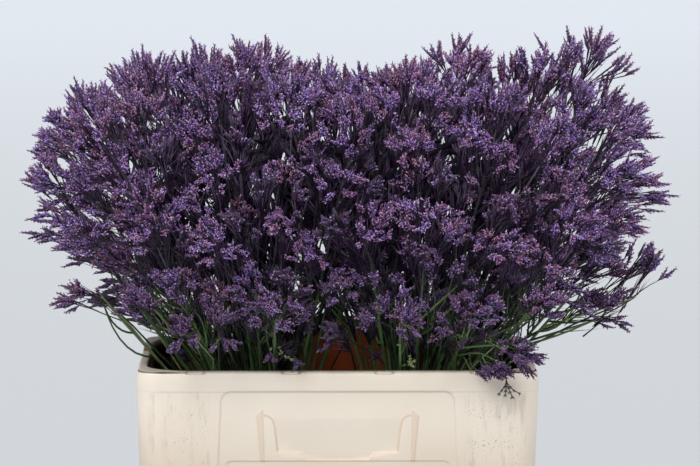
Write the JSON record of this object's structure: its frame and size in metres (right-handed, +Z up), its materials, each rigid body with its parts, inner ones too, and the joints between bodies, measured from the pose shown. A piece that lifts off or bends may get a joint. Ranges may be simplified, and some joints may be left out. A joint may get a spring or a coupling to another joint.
{
  "type": "dried statice in a flower bin",
  "caption": "Dried statice: branching green stems with purple flower sprays, in bunches that stand in a cream plastic flower bin.",
  "frame": {"origin": "centre of the bin's underside, on the surface it stands on", "axes": "+Z up along the stems, +X along the bin's long side, front of the bin faces -Y"},
  "size_m": [0.704, 0.4868, 0.6953],
  "materials": {
    "bin_plastic": "worn cream plastic with faint glue marks",
    "lining_plastic": "matte red-brown plastic",
    "flower": "papery violet and mauve florets",
    "stem": "dry green stems and branches"
  },
  "bodies": {
    "root": {"bin_lining": "lining_plastic", "bin_shell": "bin_plastic", "spray_01": "flower", "spray_02": "flower", "spray_03": "flower", "spray_04": "flower", "spray_05": "flower", "spray_06": "flower", "spray_07": "flower", "spray_08": "flower", "spray_09": "flower", "spray_10": "flower", "spray_11": "flower", "spray_12": "flower", "spray_13": "flower", "spray_14": "flower", "spray_15": "flower", "spray_16": "flower", "spray_17": "flower", "spray_18": "flower", "spray_19": "flower", "spray_20": "flower", "spray_21": "flower", "spray_22": "flower", "spray_23": "flower", "spray_24": "flower", "spray_25": "flower", "spray_26": "flower", "spray_27": "flower", "spray_28": "flower", "spray_29": "flower", "spray_30": "flower", "spray_31": "flower", "spray_32": "flower", "spray_33": "flower", "spray_34": "flower", "spray_35": "flower", "spray_36": "flower", "spray_37": "flower", "spray_38": "flower", "spray_39": "flower", "spray_40": "flower", "spray_41": "flower", "spray_42": "flower", "spray_43": "flower", "spray_44": "flower"}
  },
  "joints": []
}
